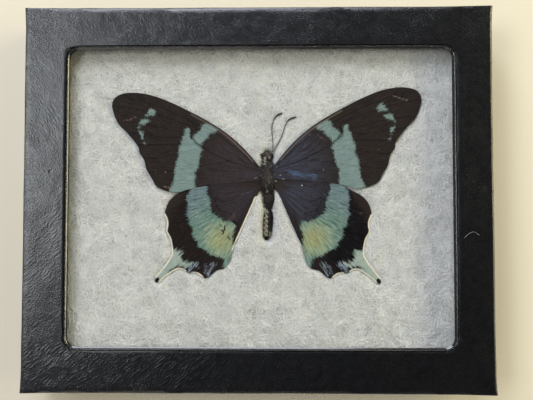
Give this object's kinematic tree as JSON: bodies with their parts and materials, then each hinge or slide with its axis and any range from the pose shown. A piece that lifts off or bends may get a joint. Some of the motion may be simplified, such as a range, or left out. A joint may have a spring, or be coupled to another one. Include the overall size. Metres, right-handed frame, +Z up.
{
  "type": "framed butterfly specimen",
  "caption": "Shallow glazed display case with a dark, blue-green banded swallowtail butterfly pressed flat on a white fibre pad.",
  "frame": {"origin": "middle of the case's underside, on the surface it rests on", "axes": "+Z up through the glass, +Y towards the butterfly's head, +X to the right along the case's long side as seen from above with the head up"},
  "size_m": [0.1404, 0.1142, 0.019],
  "materials": {
    "tray_cover": "matte black paper over board",
    "lid_cover": "satin black leatherette paper over board",
    "glass": "polished",
    "fibre": "matte white polyester batting",
    "forewing_scales": "matte brown-black wing scales with a pale blue-green band",
    "hindwing_scales": "matte wing scales, blue-green to yellow-green band on black",
    "body_hair": "matte dark hair",
    "abdomen_scales": "matte brown and cream scales",
    "feeler": "satin dark brown chitin",
    "pin_brass": "polished brass"
  },
  "bodies": {
    "root": {"base_tray": "tray_cover", "lid": "lid_cover", "glass_pane": "glass", "fibre_pad": "fibre", "forewing_left": "forewing_scales", "forewing_right": "forewing_scales", "hindwing_left": "hindwing_scales", "hindwing_right": "hindwing_scales", "head": "body_hair", "thorax": "body_hair", "abdomen": "abdomen_scales", "antenna_left": "feeler", "antenna_right": "feeler", "closing_pin_1": "pin_brass", "closing_pin_2": "pin_brass", "closing_pin_3": "pin_brass", "closing_pin_4": "pin_brass"}
  },
  "joints": []
}
